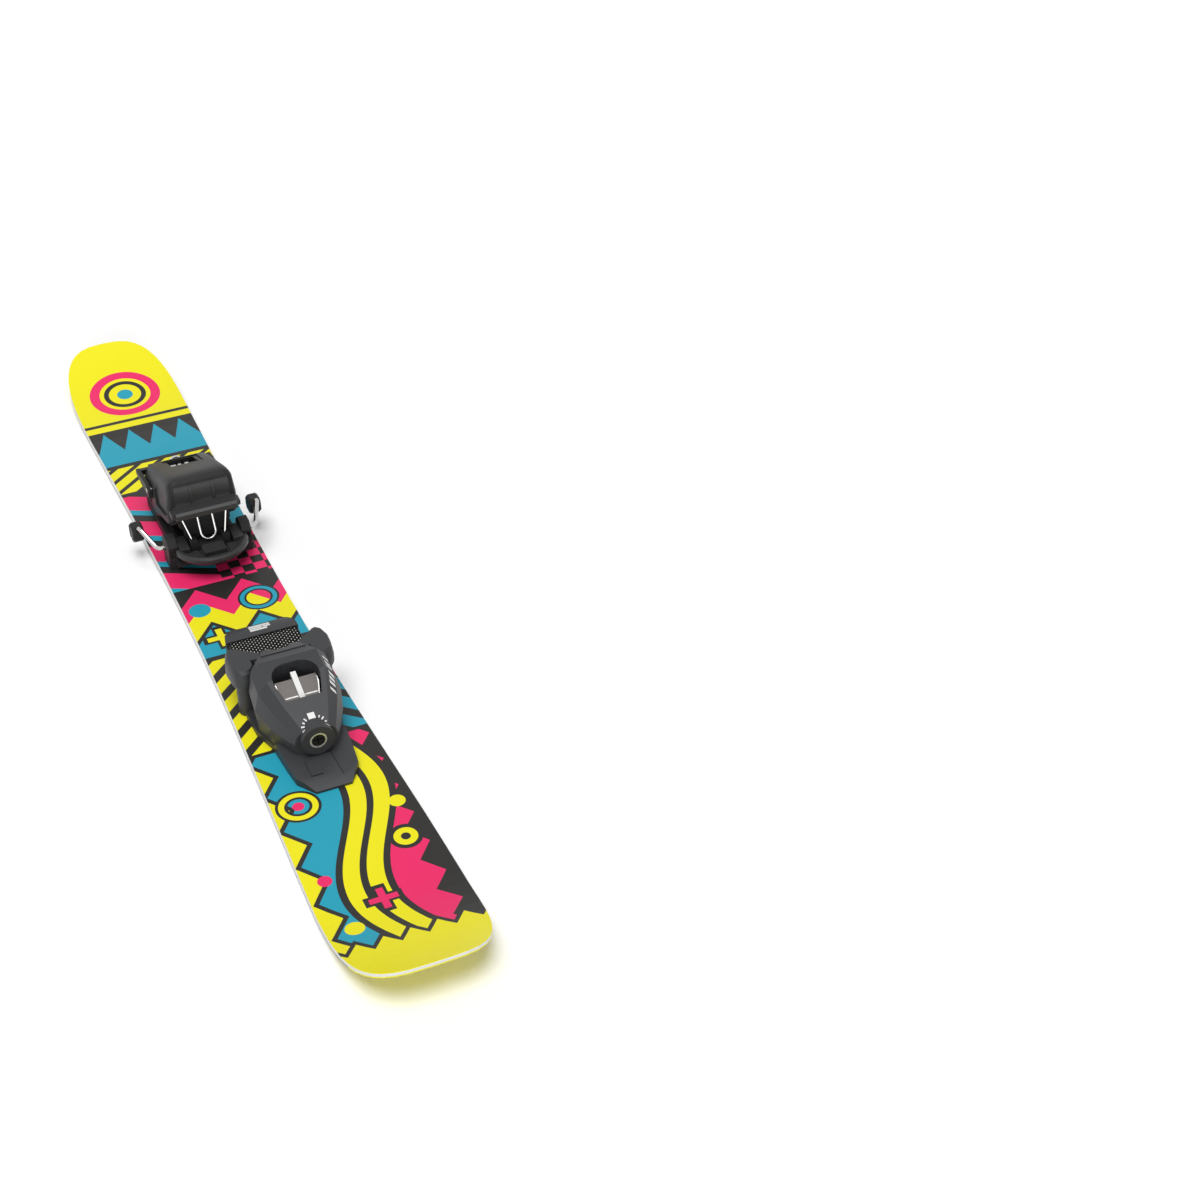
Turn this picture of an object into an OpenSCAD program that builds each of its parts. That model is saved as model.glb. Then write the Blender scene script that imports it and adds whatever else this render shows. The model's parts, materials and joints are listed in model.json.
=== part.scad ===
// Short ski with a step-in alpine binding: laminated ski, toe piece, heel piece and ski brake.
// Millimetres. +X points to the tip, +Y to the left, +Z up; the origin is on the floor under mid ski.

/* [Ski] */
// Overall length of the ski
ski_length = 990; // [900:5:1100]
// Width at the widest point of the tip
tip_width = 121; // [112:1:130]
// Width at the waist
waist_width = 95; // [90:1:98]
// Width at the widest point of the tail
tail_width = 108; // [102:1:120]
// Position of the waist, measured from mid length
waist_x = -39; // [-60:1:0]
// Length of the tip beyond its widest point
tip_taper = 111; // [90:1:125]
// Length of the tail beyond its widest point
tail_taper = 114; // [90:1:125]
// Height that the tip is turned up
tip_rise = 34; // [20:1:45]
// Length of the turned-up tip
tip_bend = 125; // [100:1:170]
// Height that the tail is turned up
tail_rise = 25; // [15:1:40]
// Length of the turned-up tail
tail_bend = 156; // [110:1:190]
// Thickness under the binding
mid_thickness = 10; // [9:0.5:14]
// Thickness at both ends
end_thickness = 5; // [4.5:0.25:7]

/* [Ski layers] */
// Thickness of the running base
base_t = 1.3; // [1:0.1:1.8]
// Width of a steel edge
edge_w = 2; // [1.6:0.1:2.6]
// Thickness of each glass laminate
laminate_t = 0.6; // [0.4:0.1:0.9]
// Thickness of the printed top sheet
topsheet_t = 0.8; // [0.5:0.1:1.2]
// Width of a sidewall
sidewall_w = 8; // [5:0.5:12]

/* [Toe piece] */
// Position of the toe piece along the ski
toe_x = 120; // [105:1:135]
// Height of the boot sole above the deck at the toe
stand_height = 27; // [26:0.5:30]
// Distance between the two wing pivots
wing_span = 70; // [69:0.5:73]
// Height of a wing
wing_height = 19; // [17:0.5:22]
// Height of the release screw's axis above the deck
toe_axis_z = 25; // [24:0.5:27]
// Diameter of the release screw's shaft
toe_screw_d = 10; // [8:0.5:11]
// Thickness of the toe's base plate
toe_plate_t = 6; // [5:0.5:7]

/* [Heel piece] */
// Position of the heel's pivot along the ski
heel_x = -180; // [-200:1:-170]
// Height of the heel's pivot above the deck
heel_pivot_z = 26; // [25:0.25:26.5]
// Diameter of the heel's pivot pin
heel_pin_d = 6; // [5:0.5:8]
// Thickness of the heel's track plate
track_t = 4; // [3:0.25:4.5]
// Travel of the heel along its track, each way
track_travel = 8; // [5:0.5:9]

/* [Brake] */
// Diameter of the brake arm's wire
arm_d = 4.4; // [3.8:0.2:5]
// Distance from the ski's middle to the wire beside the ski
arm_side = 57; // [56:0.5:60]
// Distance from the swing axle back to the middle of a brake shoe
shoe_reach = 40; // [38:0.5:50]
// Height of the swing axle above the deck
axle_z = 20; // [19.5:0.25:21]
// Diameter of the standing spring wires
spring_wire_d = 2; // [1.6:0.1:2.4]

/* [Fasteners and fits] */
// Diameter of a binding screw's shank
screw_d = 5.5; // [4.5:0.1:6]
// Length of a binding screw in the ski
screw_depth = 7; // [5:0.25:8]
// Radial clearance of pins and shafts
running = 0.05; // [0.02:0.01:0.1]
// Gap between pieces that move past each other
gap = 0.3; // [0.2:0.05:0.5]

/* [Hidden] */
$fn = 48;

plastic = "#2b2b2d";
grey_plastic = "#3b3b3e";
steel = "#c8c8ca";
deck = mid_thickness;
half_length = ski_length / 2;
tip_wide_x = half_length - tip_taper;
tail_wide_x = -half_length + tail_taper;
end_steps = 12;
side_steps = 20;
edge_h = base_t + laminate_t;
core_tip_x = tip_step(3);
core_tail_x = tail_step(9);
edge_tip_x = tip_step(5);
edge_tail_x = tail_step(7);
edge_end_w = 0.25;
flat_deck = 285;
tip_power = 3.6;
tail_power = 3;
far = 2000;

// Stations that all layers share: x of one step in the turned-in tip or tail.
function tip_step(i) = tip_wide_x + tip_taper * sin(90 * i / end_steps);
function tail_step(i) = -half_length + tail_taper * (1 - cos(90 * i / end_steps));

// Half width of the ski at x: a sidecut between the widest points, round ends beyond them.
function half_width(x) =
    x > tip_wide_x ? tip_width / 2 * round_end((x - tip_wide_x) / tip_taper, tip_power)
    : x < tail_wide_x ? tail_width / 2 * round_end((tail_wide_x - x) / tail_taper, tail_power)
    : x > waist_x ? sidecut(tip_width, (x - waist_x) / (tip_wide_x - waist_x))
    : sidecut(tail_width, (waist_x - x) / (waist_x - tail_wide_x));
function sidecut(width, t) = waist_width / 2 + (width - waist_width) / 2 * t * t * (1.5 - 0.5 * t * t);
function round_end(t, power) = max(0.09, pow(max(0, 1 - pow(min(1, t), power)), 1 / power));

// Height of the base's underside at x: flat in the middle, turned up at both ends.
function rise(x) = tip_rise * pow(max(0, (x - half_length + tip_bend) / tip_bend), 2)
    + tail_rise * pow(max(0, (-x - half_length + tail_bend) / tail_bend), 2);
function thickness(x) = let (t = max(0, (abs(x) - flat_deck) / (half_length - flat_deck)))
    mid_thickness + (end_thickness - mid_thickness) * t * t * (3 - 2 * t);

// Stations along the ski between two x values, closer together where the ends turn in.
function stations(x0 = -half_length, x1 = half_length) = let (all = [
    for (i = [0 : end_steps]) tail_step(i),
    for (i = [1 : side_steps - 1]) tail_wide_x + (tip_wide_x - tail_wide_x) * i / side_steps,
    for (i = [0 : end_steps]) tip_step(i)])
    concat([x0], [for (x = all) if (x > x0 + 0.1 && x < x1 - 0.1) x], [x1]);

// Width of a steel edge at x: full along the core, then thinner to its end, nothing beyond.
function edge_at(x) = x > edge_tip_x + 0.1 || x < edge_tail_x - 0.1 ? 0
    : x > core_tip_x ? edge_taper((x - core_tip_x) / (edge_tip_x - core_tip_x))
    : x < core_tail_x ? edge_taper((core_tail_x - x) / (core_tail_x - edge_tail_x)) : edge_w;
function edge_taper(t) = edge_w + (edge_end_w - edge_w) * t;

// Solid along the ski through one four-sided section at each station.
module along(xs, y_low, y_high, z_low, z_high) {
    loft([for (x = xs) let (a = y_low(x), b = y_high(x), c = rise(x) + z_low(x), d = rise(x) + z_high(x))
        [[x, a, c], [x, b, c], [x, b, d], [x, a, d]]]);
}

// Solid through a list of rings that all have the same number of points, faces turned outwards.
module loft(rings) {
    n = len(rings[0]);
    m = len(rings);
    points = [for (r = rings) each r];
    sides = [for (k = [0 : m - 2]) for (i = [0 : n - 1]) let (a = k * n + i, b = k * n + (i + 1) % n)
        each [[a, a + n, b], [b, a + n, b + n]]];
    ends = [[for (i = [0 : n - 1]) i], [for (i = [n - 1 : -1 : 0]) (m - 1) * n + i]];
    faces = concat(sides, ends);
    middle = (points[0] + points[len(points) - 1]) / 2;
    parts = [for (f = sides) (points[f[0]] - middle) * cross(points[f[1]] - middle,
        points[f[2]] - middle)];
    inward = parts * [for (p = parts) 1] > 0;
    polyhedron(points, inward ? [for (f = faces) [for (i = [len(f) - 1 : -1 : 0]) f[i]]] : faces);
}

// Prism across the ski from a side view drawn in x and z, between two y values.
module across(points, y0, y1) {
    translate([0, y1, 0]) rotate([90, 0, 0]) linear_extrude(y1 - y0) polygon(points);
}

module rod_y(x, z, r, y0, y1) {
    translate([x, y0, z]) rotate([-90, 0, 0]) cylinder(r = r, h = y1 - y0);
}

module rod_x(z, r, x0, x1) {
    translate([x0, 0, z]) rotate([0, 90, 0]) cylinder(r = r, h = x1 - x0);
}

// Path along a list of corners, with every inner corner rounded to radius r.
function bent(corners, r, steps = 5) = concat([corners[0]],
    [for (i = [1 : len(corners) - 2])
        let (p = corners[i], u = unit(corners[i - 1] - p), v = unit(corners[i + 1] - p),
            half = acos(u * v) / 2,
            centre = p + unit(u + v) * r / sin(half), a = p + u * r / tan(half) - centre,
            b = p + v * r / tan(half) - centre, sweep = 180 - 2 * half)
        for (k = [0 : steps]) centre + (a * sin(sweep * (1 - k / steps)) + b * sin(sweep * k / steps)) / sin(sweep)],
    [corners[len(corners) - 1]]);
function unit(v) = v / norm(v);

// Round wire that follows a path as one unbroken tube.
module tube(path, d, sides = 12) {
    last = len(path) - 1;
    loft([for (i = [0 : last])
        let (t = unit(path[min(i + 1, last)] - path[max(i - 1, 0)]), a = unit(cross([0, 0, 1],
            t)), b = cross(t, a))
        [for (s = [0 : sides - 1]) path[i] + d / 2 * (cos(360 * s / sides) * a + sin(360 * s / sides) * b)]]);
}

// Straight round rod between two points.
module rod(p, q, r) {
    v = q - p;
    translate(p) rotate([0, acos(v[2] / norm(v)), atan2(v[1], v[0])]) cylinder(r = r, h = norm(v));
}

// Coil along +X as one unbroken tube.
module coil(length, mean_r, wire_d, turns) {
    per_turn = 10;
    sides = 6;
    pitch = (length - wire_d) / turns;
    rings = [for (k = [0 : turns * per_turn]) let (a = 360 * k / per_turn)
        [for (s = [0 : sides - 1]) let (b = 360 * s / sides, r = mean_r + wire_d / 2 * cos(b))
            [wire_d / 2 + pitch * k / per_turn + wire_d / 2 * sin(b), r * cos(a), r * sin(a)]]];
    loft(rings);
}

function mirror_y(points) = concat(points, [for (i = [len(points) - 1 : -1 : 0]) [points[i][0],
    -points[i][1]]]);
function scaled(points, centre, f) = [for (p = points) centre + (p - centre) * f];

/* Ski */

core_top = function (x) thickness(x) - topsheet_t - laminate_t;

module base_sheet() {
    color("#e8dd20") along(stations(), function (x) edge_at(x) - half_width(x),
        function (x) half_width(x) - edge_at(x), function (x) 0, function (x) base_t);
}

module steel_edge(side) {
    color(steel) mirror([0, side > 0 ? 0 : 1, 0]) along(stations(edge_tail_x, edge_tip_x),
        function (x) half_width(x) - edge_at(x), function (x) half_width(x), function (x) 0,
            function (x) edge_h);
}
module edge_left() { steel_edge(1); }
module edge_right() { steel_edge(-1); }

module lower_laminate() {
    color("#d8d2b8") along(stations(), function (x) edge_at(x) - half_width(x),
        function (x) half_width(x) - edge_at(x), function (x) base_t, function (x) edge_h);
}

module wood_core() {
    color("#c9a26b") difference() {
        along(stations(core_tail_x, core_tip_x), function (x) sidewall_w - half_width(x),
            function (x) half_width(x) - sidewall_w, function (x) edge_h, core_top);
        ski_screw_holes();
    }
}

module sidewall(side) {
    color("white") mirror([0, side > 0 ? 0 : 1, 0]) along(stations(core_tail_x, core_tip_x),
        function (x) half_width(x) - sidewall_w, function (x) half_width(x), function (x) edge_h,
            core_top);
}
module sidewall_left() { sidewall(1); }
module sidewall_right() { sidewall(-1); }

module end_spacer(x0, x1) {
    color("white") along(stations(x0, x1), function (x) -half_width(x), function (x) half_width(x),
        function (x) edge_h, core_top);
}
module tip_spacer() { end_spacer(core_tip_x, half_length); }
module tail_spacer() { end_spacer(-half_length, core_tail_x); }

module upper_laminate() {
    color("#d8d2b8") difference() {
        along(stations(), function (x) -half_width(x), function (x) half_width(x), core_top,
            function (x) thickness(x) - topsheet_t);
        ski_screw_holes();
    }
}

module topsheet() {
    color("#e8dd20") difference() {
        along(stations(), function (x) -half_width(x), function (x) half_width(x),
            function (x) thickness(x) - topsheet_t, function (x) thickness(x));
        ski_screw_holes();
    }
}

/* Screws that hold the binding */

toe_screw_xs = [14, 56];
toe_screw_y = 13;
heel_screw_xs = [-38, 58];
heel_screw_y = 18;
screw_head_d = 9.5;
screw_head_t = 2.6;

module at_toe() { translate([toe_x, 0, deck]) children(); }
module at_heel() { translate([heel_x, 0, deck]) children(); }
module at_screws(xs, y) { for (x = xs, s = [1, -1]) translate([x, s * y, 0]) children(); }

module binding_screw(plate_t, grow = 0) {
    translate([0, 0, -screw_depth - grow])
        cylinder(d = screw_d + 2 * grow, h = screw_depth + plate_t + grow);
    translate([0, 0, plate_t - screw_head_t - grow])
        cylinder(d = screw_head_d + 2 * grow, h = screw_head_t + grow);
}

module cross_slot(size, depth) {
    for (a = [0, 90]) rotate([0, 0, a]) translate([-size / 2, -0.6, -depth]) cube([size, 1.2, depth + 1]);
}

module ski_screw_holes() {
    at_toe() at_screws(toe_screw_xs, toe_screw_y) binding_screw(0, running);
    at_heel() at_screws(heel_screw_xs, heel_screw_y) binding_screw(0, running);
}

module screw_set(xs, y, plate_t) {
    at_screws(xs, y) difference() {
        binding_screw(plate_t);
        translate([0, 0, plate_t]) cross_slot(5, 1.6);
    }
}

module toe_screws() { color(steel) at_toe() screw_set(toe_screw_xs, toe_screw_y, toe_plate_t); }
module heel_screws() { color(steel) at_heel() screw_set(heel_screw_xs, heel_screw_y, track_t); }

/* Toe piece, drawn from its own zero at deck height */

wing_x = 8;
wing_y = wing_span / 2;
wing_boss_r = 10;
wing_pin_r = 2.5;
wing_floor = stand_height + 2;
tongue_front = 134;
nose_r = 14.3;
nose_front = 99;
screw_head_r = 7.5;
cavity_x = [12, 72];
cavity_y = 16;
cavity_top = 40;
plate_rear = -62;
afd_rear = -79;
afd_front = -18;
afd_y = 33;
slider_t = 4.5;
slider_y = 31;
slider_x = [-55, -20];

// Side view of the plate's upper face: flat under the housing, a sloping tongue in front of it.
tongue_side = [[tongue_front, 0], [tongue_front, 2.5], [124, 6.5], [98, 9.5], [74, 12.5],
    [68, toe_plate_t]];

module toe_base() {
    outline = mirror_y([[plate_rear, 28], [-24, 31], [-12, 34], [18, 39], [44, 38], [66, 31], [98, 29],
        [117, 27], [tongue_front, 15.5]]);
    color(grey_plastic) at_toe() difference() {
        union() {
            intersection() {
                linear_extrude(far) polygon(outline);
                across(concat([[plate_rear, 0]], tongue_side, [[plate_rear, toe_plate_t]]), -60, 60);
            }
            for (s = [1, -1]) translate([wing_x, s * wing_y, 0])
                cylinder(r = wing_boss_r - 2.5, h = wing_floor - gap);
        }
        at_screws(toe_screw_xs, toe_screw_y) binding_screw(toe_plate_t, running);
        for (s = [1, -1]) translate([wing_x, s * wing_y, -1]) cylinder(r = wing_pin_r + running, h = far);
        tongue_lines();
    }
}

// One seam down the tongue and a shallow panel beside it.
module tongue_lines() {
    translate([96, 9, 8.6]) rotate([0, 6.6, 4]) translate([0, -0.5, 0]) cube([50, 1, 12]);
    translate([103, -15, 7.9]) rotate([0, 6.6, 0]) cube([16, 1, 12]);
    translate([118.6, -15, 6.1]) rotate([0, 6.6, 0]) cube([1, 11, 12]);
}

// Section of the toe housing at one station: foot, flank, shoulder and roof.
function toe_ring(x, foot, flank, roof, flank_z, shoulder_z, roof_z) =
    [[x, -foot, 0], [x, -flank, flank_z], [x, -(flank + roof) / 2 - 2, shoulder_z], [x, -roof, roof_z],
     [x, roof, roof_z], [x, (flank + roof) / 2 + 2, shoulder_z], [x, flank, flank_z], [x, foot, 0]];

module toe_shell() {
    loft([
        toe_ring(5, 22, 24, 14, 30, 44, 50),
        toe_ring(10, 25, 28, 20, 33, 50, 56.5),
        toe_ring(24, 32, 36, 26, 33, 52, 60),
        toe_ring(46, 35, 38, 25.5, 29, 46, 56.5),
        toe_ring(68, 29, 32, 20, 25, 39, 47),
        toe_ring(86, 19, 23, 14, 22, 32, 38.5),
        toe_ring(93, 16, 19, 11, 22, 29, 34)]);
    rod_x(toe_axis_z, nose_r, 80, nose_front);
    overhang();
}

// Rear edge of the roof, which reaches back over the wings.
module overhang() {
    low = wing_floor + wing_height + 0.6;
    loft([for (k = [[-3, 14, 51], [4, 18, 55], [13, 20, 58]])
        [[k[0], -k[1] - 2, low], [k[0], -k[1], k[2]], [k[0], k[1], k[2]], [k[0], k[1] + 2, low]]]);
}

window_edge = [[31, 7], [33, 13], [37, 17.5], [43, 20], [50, 20.3], [66.5, 15.5]];

module toe_housing() {
    color(grey_plastic) at_toe() difference() {
        toe_shell();
        translate([cavity_x[0], -cavity_y, -1])
            cube([cavity_x[1] - cavity_x[0], 2 * cavity_y, cavity_top + 1]);
        translate([0, 0, cavity_top - 3]) linear_extrude(far) polygon(mirror_y(window_edge));
        rod_x(toe_axis_z, toe_screw_d / 2 + running, cavity_x[1] - 1, nose_front);
        rod_x(toe_axis_z, screw_head_r + gap, nose_front - 6, nose_front + 1);
        across(concat([[-100, -1], [tongue_front, -1]], tongue_side, [[-100, toe_plate_t]]), -60, 60);
        for (s = [1, -1]) translate([wing_x, s * wing_y, 0]) cylinder(r = wing_boss_r + gap, h = far);
        roof_notch();
    }
}

// Shallow stepped notch in the rear edge of the roof.
module roof_notch() {
    translate([0, 0, 48]) linear_extrude(far) polygon(mirror_y([[-10, 9], [2, 9], [6, 5]]));
}

module toe_wing(s) {
    inner = [[3, 25.6], [4, 14.5], [-3, 13.5], [-9, 18], [-15, 27], [-22, 35.5]];
    outer = [[-23, 39], [-19, 43.5], [-8, 46.5], [2, 46]];
    nose = [for (a = [75 : -25 : -100]) [wing_x + wing_boss_r * cos(a), wing_y + wing_boss_r * sin(a)]];
    shape = concat(inner, outer, nose);
    middle = [-5, 34];
    top = wing_floor + wing_height;
    color(plastic) at_toe() mirror([0, s > 0 ? 0 : 1, 0]) difference() {
        loft([for (k = [[wing_floor, 0.93], [wing_floor + 3, 1], [top - 8, 1], [top - 2.5, 0.93],
            [top, 0.82]])
            [for (p = scaled(shape, middle, k[1])) [p[0], p[1], k[0]]]]);
        translate([wing_x, wing_y, 0]) cylinder(r = wing_pin_r + running, h = top - 5);
    }
}
module toe_wing_left() { toe_wing(1); }
module toe_wing_right() { toe_wing(-1); }

module toe_wing_pins() {
    color(steel) at_toe() for (s = [1, -1]) translate([wing_x, s * wing_y, 0])
        cylinder(r = wing_pin_r, h = wing_floor + wing_height - 5 - gap);
}

module toe_release_screw() {
    color(steel) at_toe() difference() {
        union() {
            rod_x(toe_axis_z, toe_screw_d / 2, 22, nose_front - 6 + gap);
            rod_x(toe_axis_z, screw_head_r, nose_front - 6 + gap, nose_front - 0.5);
        }
        rod_x(toe_axis_z, screw_head_r - 1.6, nose_front - 1.8, nose_front + 1);
        translate([nose_front - 1.8, 0, toe_axis_z]) rotate([0, 90, 0]) cross_slot(9, 2.5);
    }
}

carriage_x = [42, 63];
carriage_top = [49.5, 42];
plate_edge = [[carriage_x[0], 18.4], [50, 18.8], [carriage_x[1], 15]];

// Nut on the screw with a sloping plate that fills the front of the window.
module toe_carriage() {
    low = toe_axis_z - 9;
    plate_low = cavity_top + 0.4;
    slope = [[carriage_x[1], carriage_top[1]], [carriage_x[0], carriage_top[0]]];
    color("#8d8680") at_toe() difference() {
        union() {
            across(concat([[carriage_x[0], low], [carriage_x[1], low]], slope), 1 - cavity_y, cavity_y - 1);
            intersection() {
                across(concat([[carriage_x[0], plate_low], [carriage_x[1], plate_low]], slope), -40, 40);
                linear_extrude(far) polygon(mirror_y(plate_edge));
            }
        }
        rod_x(toe_axis_z, toe_screw_d / 2 + running, carriage_x[0] - 1, carriage_x[1] + 1);
    }
}

module toe_pointer() {
    color("white") at_toe() across([[37, carriage_top[0] - 2], [carriage_x[0], carriage_top[0]],
        [carriage_x[1] - 1, carriage_top[1] + 0.4], [carriage_x[1] - 1, carriage_top[1] + 2],
            [37, carriage_top[0] + 3.6]],
        -2.4, 2.4);
}

module toe_spring() {
    color(steel) at_toe() translate([15, 0, toe_axis_z]) coil(carriage_x[0] - 15 - 0.2, 8, 3, 5);
}

module afd_block() {
    outline = mirror_y([[afd_rear, 13], [afd_rear + 2, 20], [afd_rear + 6, 26], [afd_rear + 13, 31],
        [afd_rear + 22, afd_y], [afd_front, afd_y]]);
    side = [[afd_rear, 0], [plate_rear - gap, 0], [plate_rear - gap, toe_plate_t],
        [afd_front, toe_plate_t],
        [afd_front, stand_height - 2], [slider_x[0], stand_height - 2], [slider_x[0], stand_height + 0.6],
        [slider_x[0] - 9, stand_height + 0.6], [slider_x[0] - 16, stand_height - 1],
            [slider_x[0] - 21, stand_height - 4],
        [afd_rear, stand_height - 9]];
    color(grey_plastic) at_toe() difference() {
        intersection() {
            linear_extrude(far) polygon(outline);
            across(side, -60, 60);
        }
        translate([slider_x[0], -60, stand_height - slider_t])
            cube([slider_x[1] - slider_x[0], 120, far]);
    }
}

// Low pad that the sole slides on, slightly crowned.
module afd_slider() {
    low = stand_height - slider_t + 0.2;
    color("#161616") at_toe() across([[slider_x[0] + gap, low], [slider_x[1] - gap, low],
        [slider_x[1] - gap, stand_height - 1], [slider_x[1] - 10, stand_height],
            [slider_x[0] + 10, stand_height],
        [slider_x[0] + gap, stand_height - 1]], -slider_y, slider_y);
}

/* Heel piece, drawn from the heel pivot's foot at deck height */

chassis_x = [-30, 48];
track_x = [chassis_x[0] - track_travel - 8, chassis_x[1] + track_travel + 12];
track_y = 28;
chassis_y = 24;
skirt_y = track_y + gap;
skirt_t = 3;
lug_r = 9;
housing_y = 33;
wall_y = chassis_y + 0.5;
chamber_x = [-12, 62];
chamber_y = 14;
chamber_z = [37.5, 55];
heel_axis_z = 46.25;
heel_screw_r = 4;
screw_rear = -22;
lever_pivot = [4, 40];
lever_pin_r = 2.5;
lever_t = 3.5;
slot_x = [-6, 17];
slot_y = 13;
length_axis_z = 8.2;
length_screw_r = 2.6;
length_head_r = 3.6;

module heel_track() {
    color(plastic) at_heel() difference() {
        translate([track_x[0], -track_y, 0]) cube([track_x[1] - track_x[0], 2 * track_y, track_t]);
        at_screws(heel_screw_xs, heel_screw_y) binding_screw(track_t, running);
        for (x = [track_x[0] + 24 : 4 : track_x[1] - 24]) translate([x, -6, track_t - 1.5])
            cube([2, 12, 2]);
    }
}

module heel_chassis() {
    floor_z = track_t + gap;
    side = [[chassis_x[0], floor_z], [chassis_x[1], floor_z], [chassis_x[1], 12], [14, 16],
        [lug_r, heel_pivot_z],
        [-lug_r, heel_pivot_z], [-13, 16], [chassis_x[0], 11.5]];
    color(plastic) at_heel() difference() {
        union() {
            across(side, -chassis_y, chassis_y);
            rod_y(0, heel_pivot_z, lug_r, -chassis_y, chassis_y);
            for (s = [1, -1]) skirt(s, floor_z);
        }
        rod_y(0, heel_pivot_z, heel_pin_d / 2 + running, -60, 60);
        rod_x(length_axis_z, length_screw_r + running, chassis_x[0] - 1, 20);
        rod_x(length_axis_z, length_head_r + running, chassis_x[0] - 1, chassis_x[0] + 5);
    }
}

// Jaw that hooks round one side of the track.
module skirt(s, floor_z) {
    length = chassis_x[1] - chassis_x[0];
    mirror([0, s > 0 ? 0 : 1, 0]) {
        translate([chassis_x[0], chassis_y, floor_z]) cube([length, skirt_y + skirt_t - chassis_y, 5]);
        translate([chassis_x[0], skirt_y, gap]) cube([length, skirt_t, floor_z + 5 - gap]);
    }
}

module length_screw() {
    color(steel) at_heel() difference() {
        union() {
            rod_x(length_axis_z, length_screw_r, chassis_x[0] + 5, 18);
            rod_x(length_axis_z, length_head_r, chassis_x[0] + 1, chassis_x[0] + 5);
        }
        translate([chassis_x[0] + 1, 0, length_axis_z]) rotate([0, -90, 0]) cross_slot(5, 2);
    }
}

module heel_pivot_pin() {
    color(steel) at_heel() rod_y(0, heel_pivot_z, heel_pin_d / 2, -housing_y + 2, housing_y - 2);
}

// Section of the heel housing at one station: wide below, narrower above, with rounded shoulders.
function heel_ring(x, low, high, wide, top) = let (mid = low + (high - low) * 0.45, r = min(7,
    (high - low) * 0.3))
    let (half = [[wide - 3, low], [wide, low + 3], [wide, mid], [top + 1.6, high - r],
        [top, high - r * 0.55],
        [top - r * 0.35, high - r * 0.16], [top - r, high]])
    concat([for (p = half) [x, p[0], p[1]]], [for (i = [len(half) - 1 : -1 : 0]) [x, -half[i][0],
        half[i][1]]]);

module heel_shell() {
    loft([
        heel_ring(-29, 28, 41, housing_y - 1.5, 27),
        heel_ring(-24, 23, 48, housing_y, 28),
        heel_ring(-16, 20, 55, housing_y, 28),
        heel_ring(-6, 18, 60.5, housing_y, 28.5),
        heel_ring(15, 15, 69, housing_y, 28.5),
        heel_ring(32, 26, 75.6, housing_y, 28.5),
        heel_ring(50, 32, 82.5, housing_y, 29),
        heel_ring(63, 36, 87, housing_y, 29),
        heel_ring(69, 39, 87.5, housing_y, 29),
        heel_ring(72.5, 42, 85, housing_y - 1, 28.5),
        heel_ring(74.5, 44, 80, housing_y - 2.5, 27.5)]);
}

module heel_housing() {
    color(plastic) at_heel() difference() {
        heel_shell();
        across([[-80, -5], [26, -5], [26, 16], [lug_r + 0.4, heel_pivot_z], [lug_r, chamber_z[0] - 2.3],
            [-80, chamber_z[0] - 2.3]], -wall_y, wall_y);
        rod_y(0, heel_pivot_z, lug_r + 0.4, -wall_y, wall_y);
        rod_y(0, heel_pivot_z, heel_pin_d / 2 + running, -60, 60);
        translate([chamber_x[0], -chamber_y, chamber_z[0]])
            cube([chamber_x[1] - chamber_x[0], 2 * chamber_y, chamber_z[1] - chamber_z[0]]);
        translate([slot_x[0], -slot_y, chamber_z[1] - 1]) cube([slot_x[1] - slot_x[0], 2 * slot_y, 40]);
        rod_x(heel_axis_z, heel_screw_r + running, -60, chamber_x[0] + 1);
        rod_x(heel_axis_z, 6 + gap, -60, screw_rear);
        translate([cup_x, -cup_y, cup_z[0]]) cube([40, 2 * cup_y, cup_z[1] - cup_z[0]]);
        translate([66, -25, 20]) cube([40, 50, cup_z[0] - 20]);
        across([[slot_x[0] - 3.5, 57.4], [slot_x[0], 59], [15, 67.6], [slot_x[1] + 5, 70.2], [slot_x[1] + 5, 99],
            [slot_x[0] - 3.5, 99]], -slot_y - 4, slot_y + 4);
        for (s = [1, -1]) side_panel(s);
        for (s = [1, -1]) mirror([0, s > 0 ? 0 : 1, 0])
            rod_y(lever_pivot[0], lever_pivot[1], lever_pin_r + running, housing_y - 6 - gap,
                housing_y + 1);
    }
}

// Shallow hollow in one cheek, which leaves a rim round it.
module side_panel(s) {
    mirror([0, s > 0 ? 0 : 1, 0])
        across([[22, 34], [50, 41], [66, 48], [67, 70], [60, 74], [30, 62], [18, 48]],
            housing_y - 2.2, housing_y + 5);
}

cup_x = 66;
cup_y = 26;
cup_z = [54, 83];
rib_y = 10.5;

// Curved panel with two ribs, and the lip that comes down on the boot's heel.
module heel_cup() {
    panel = [[cup_x, cup_z[0] + 0.1], [cup_x, cup_z[1] - 0.1], [71, cup_z[1] - 0.1], [73, 80.5], [74.4, 77],
        [75, 73], [74.8, 69], [74.4, 65], [75, 62.4], [75, cup_z[0] + 0.1]];
    rib = [[cup_x + 1, 60], [cup_x + 1, 82], [72.4, 82], [74.4, 80], [75.6, 77], [76.2, 73], [76, 69], [75.6, 62]];
    lip = [[74.6, 54], [74.6, 62.5], [85.5, 61.6], [88, 59.8], [88, 55]];
    color(plastic) at_heel() {
        across(panel, -cup_y + 0.1, cup_y - 0.1);
        for (s = [1, -1]) across(rib, s * rib_y - 1.3, s * rib_y + 1.3);
        across(lip, -29, 29);
        across([[75.5, 55.5], [75.5, 60.6], [85, 60], [85, 55.5]], -32.5, 32.5);
    }
}

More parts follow.
